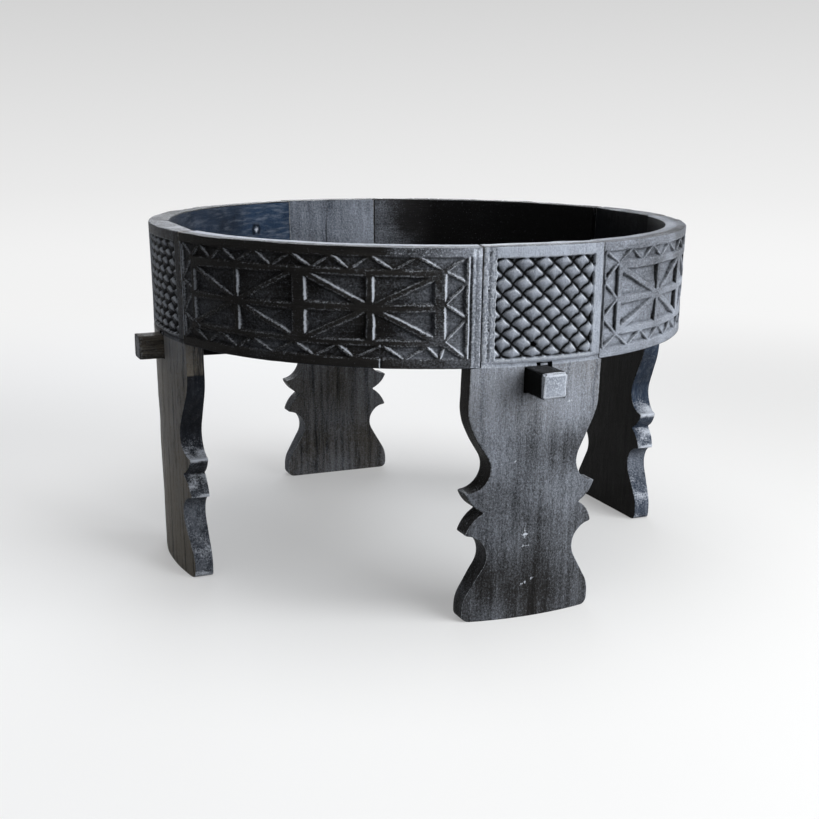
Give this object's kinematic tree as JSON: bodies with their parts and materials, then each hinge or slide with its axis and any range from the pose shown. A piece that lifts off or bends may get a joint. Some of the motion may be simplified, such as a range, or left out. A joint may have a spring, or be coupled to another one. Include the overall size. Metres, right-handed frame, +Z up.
{
  "type": "drum table",
  "caption": "Round drum table with a carved open-topped wooden ring on shaped plank legs, tied by two crossed bars under a boarded basin.",
  "frame": {"origin": "on the floor under the middle of the table", "axes": "+Z up; one leg stands on each of -Y (front), +X (right), +Y (back) and -X (left); the long crossbar runs along Y"},
  "size_m": [0.76, 0.782, 0.436],
  "materials": {
    "leg_wood": "carved hardwood, ebonised and waxed, satin, rubbed grey on the high spots",
    "ring_wood": "carved hardwood, ebonised and waxed, satin, worn along the rim and the carved edges",
    "bar_wood": "sawn hardwood, ebonised, worn end grain",
    "wedge_wood": "split hardwood, ebonised",
    "floor_wood": "planed boards, ebonised",
    "nail_iron": "blackened iron, slightly rusted"
  },
  "bodies": {
    "root": {"front_leg": "leg_wood", "right_leg": "leg_wood", "back_leg": "leg_wood", "left_leg": "leg_wood", "front_left_panel": "ring_wood", "front_right_panel": "ring_wood", "back_right_panel": "ring_wood", "back_left_panel": "ring_wood", "long_crossbar": "bar_wood", "short_crossbar": "bar_wood", "front_bar_wedge": "wedge_wood", "right_bar_wedge": "wedge_wood", "back_bar_wedge": "wedge_wood", "left_bar_wedge": "wedge_wood", "floor_board_1": "floor_wood", "floor_board_2": "floor_wood", "floor_board_3": "floor_wood", "floor_board_4": "floor_wood", "floor_board_5": "floor_wood", "floor_nails": "nail_iron"}
  },
  "joints": []
}
